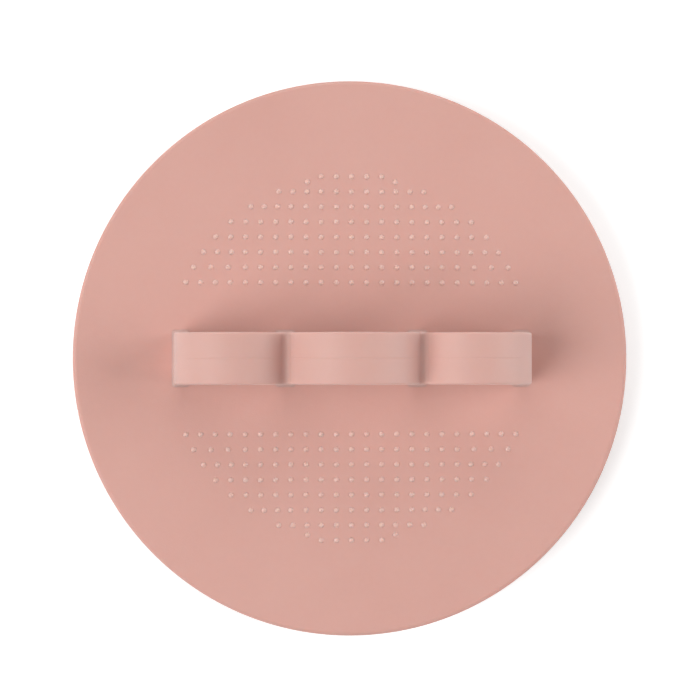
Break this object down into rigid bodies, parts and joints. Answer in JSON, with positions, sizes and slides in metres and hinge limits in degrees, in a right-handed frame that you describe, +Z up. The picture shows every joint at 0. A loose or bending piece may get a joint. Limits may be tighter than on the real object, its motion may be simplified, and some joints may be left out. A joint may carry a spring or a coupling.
{
  "type": "facial cleansing pad",
  "caption": "Round flexible silicone face pad with soft bristles on the front, raised grip nubs on the back and a strap of finger loops that holds it to the hand.",
  "frame": {"origin": "centre of the plane of the bristle tips, on which the pad lies", "axes": "+Z up through the finger loops, +X along the row of loops, +Y towards the upper field of grip nubs"},
  "size_m": [0.11, 0.11, 0.0295],
  "materials": {
    "disc_silicone": "matte moulded silicone, pink",
    "nub_silicone": "smooth satin moulded silicone, pink",
    "loop_silicone": "satin moulded silicone, pink",
    "bristle_silicone": "soft satin silicone, pink, slightly translucent"
  },
  "bodies": {
    "root": {"base_disc": "disc_silicone", "grip_nubs_upper": "nub_silicone", "grip_nubs_lower": "nub_silicone", "finger_loop_left": "loop_silicone", "finger_loop_middle": "loop_silicone", "finger_loop_right": "loop_silicone", "bristles_centre": "bristle_silicone", "bristles_inner": "bristle_silicone", "bristles_middle": "bristle_silicone", "bristles_outer": "bristle_silicone"}
  },
  "joints": []
}
